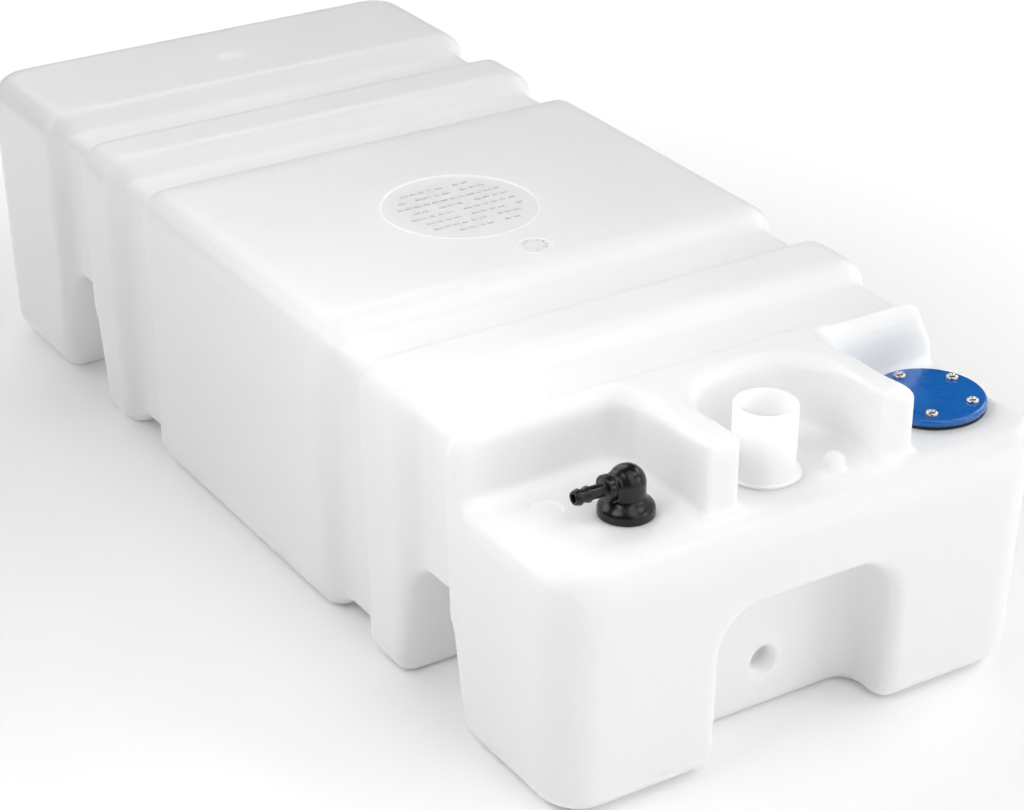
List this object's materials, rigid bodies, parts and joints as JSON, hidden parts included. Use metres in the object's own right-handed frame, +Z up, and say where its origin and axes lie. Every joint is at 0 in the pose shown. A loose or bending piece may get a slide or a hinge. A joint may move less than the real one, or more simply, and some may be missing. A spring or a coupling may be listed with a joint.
{
  "type": "inboard fuel tank",
  "caption": "Long white moulded fuel tank with strap grooves, a filler neck, a swivelling pickup elbow and a blanked round sender port.",
  "frame": {"origin": "on the floor under the middle of the tank", "axes": "+Z up, Y along the tank with the fittings end at -Y, +X to the right seen from the fittings end"},
  "size_m": [0.3488, 0.7877, 0.205],
  "materials": {
    "tank_plastic": "satin",
    "neck_plastic": "satin",
    "blue_plastic": "gloss",
    "seal_rubber": "matte",
    "steel": "bright",
    "insert_brass": "satin",
    "black_plastic": "satin"
  },
  "bodies": {
    "tank": {"tank_shell": "tank_plastic", "filler_neck": "neck_plastic", "sender_cover": "blue_plastic", "cover_gasket": "seal_rubber", "cover_screws": "steel", "screw_inserts": "insert_brass", "pickup_stem": "black_plastic", "stem_seal": "seal_rubber", "stem_o_ring": "seal_rubber", "stem_clip": "steel", "pickup_insert": "insert_brass", "dip_tube": "neck_plastic", "strainer_frame": "black_plastic", "strainer_mesh": "steel"},
    "elbow": {"pickup_elbow": "black_plastic"}
  },
  "joints": [
    {"name": "elbow_swivel", "type": "hinge", "parent": "tank", "child": "elbow", "pos_m": [-0.096, -0.339, 0.18], "axis": [0, 0, 1], "range_deg": [-140, 140]}
  ]
}
